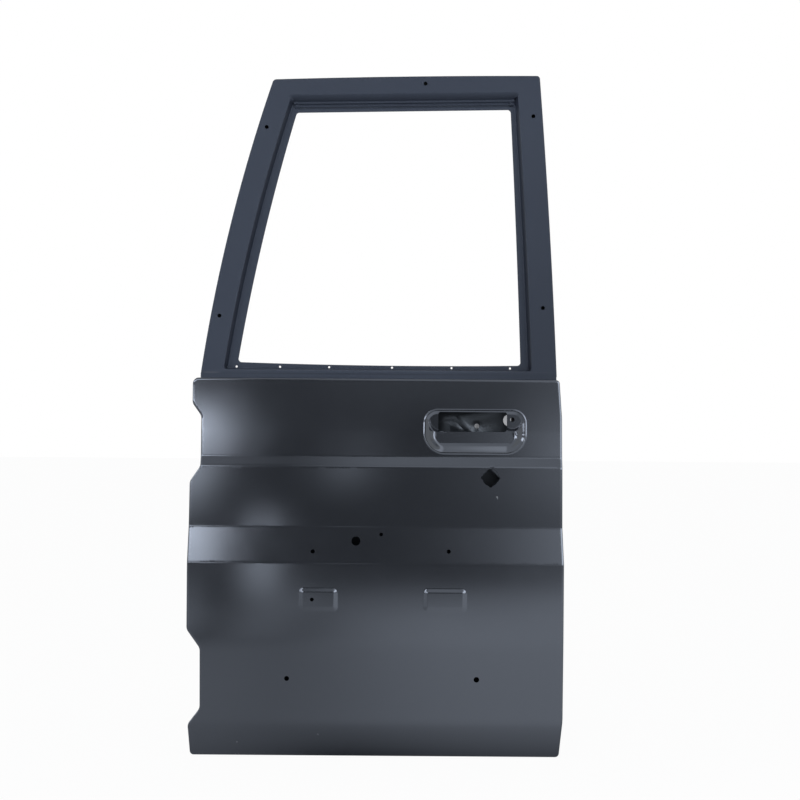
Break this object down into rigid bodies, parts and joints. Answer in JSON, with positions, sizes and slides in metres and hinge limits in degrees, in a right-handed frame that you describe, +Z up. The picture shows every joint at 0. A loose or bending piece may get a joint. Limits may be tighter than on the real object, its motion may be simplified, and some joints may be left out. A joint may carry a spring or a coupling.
{
  "type": "car door shell",
  "caption": "Bare sheet-steel shell of a side-hinged vehicle door with an upright window frame, a handle recess and hinge notches, for hanging on a body.",
  "frame": {"origin": "middle of the upper hinge seat, on the outer face of the hinge wall, between its two bolt holes", "axes": "+X from the hinge wall to the latch wall, +Y from the outer skin into the vehicle, +Z up"},
  "size_m": [0.6645, 0.107, 1.2178],
  "materials": {
    "skin_paint": "glossy black electrocoat with a slate tint, light dust",
    "frame_paint": "semi-gloss slate electrocoat",
    "panel_paint": "semi-gloss black electrocoat",
    "reinforcement_paint": "satin black electrocoat",
    "fastener_paint": "satin black electrocoat over forged steel",
    "mastic": "matt black mastic"
  },
  "bodies": {
    "root": {"outer_skin": "skin_paint", "window_frame_outer": "frame_paint", "belt_rail": "frame_paint", "window_frame_inner": "panel_paint", "inner_panel": "panel_paint", "lock_plate": "reinforcement_paint", "hinge_reinforcement_upper": "reinforcement_paint", "hinge_reinforcement_lower": "reinforcement_paint", "check_link_bracket": "reinforcement_paint", "latch_reinforcement": "reinforcement_paint", "skin_brace_upper": "reinforcement_paint", "skin_brace_lower": "reinforcement_paint", "hinge_nut_plate_upper": "fastener_paint", "hinge_nut_plate_lower": "fastener_paint", "nut_plate_cage_upper": "fastener_paint", "nut_plate_cage_lower": "fastener_paint", "check_link_nut_top": "fastener_paint", "check_link_nut_foot": "fastener_paint", "mastic_upper_1": "mastic", "mastic_upper_2": "mastic", "mastic_upper_3": "mastic", "mastic_upper_4": "mastic", "mastic_upper_5": "mastic", "mastic_upper_6": "mastic", "mastic_lower_1": "mastic", "mastic_lower_2": "mastic", "mastic_lower_3": "mastic", "mastic_lower_4": "mastic", "mastic_lower_5": "mastic", "mastic_lower_6": "mastic"}
  },
  "joints": []
}
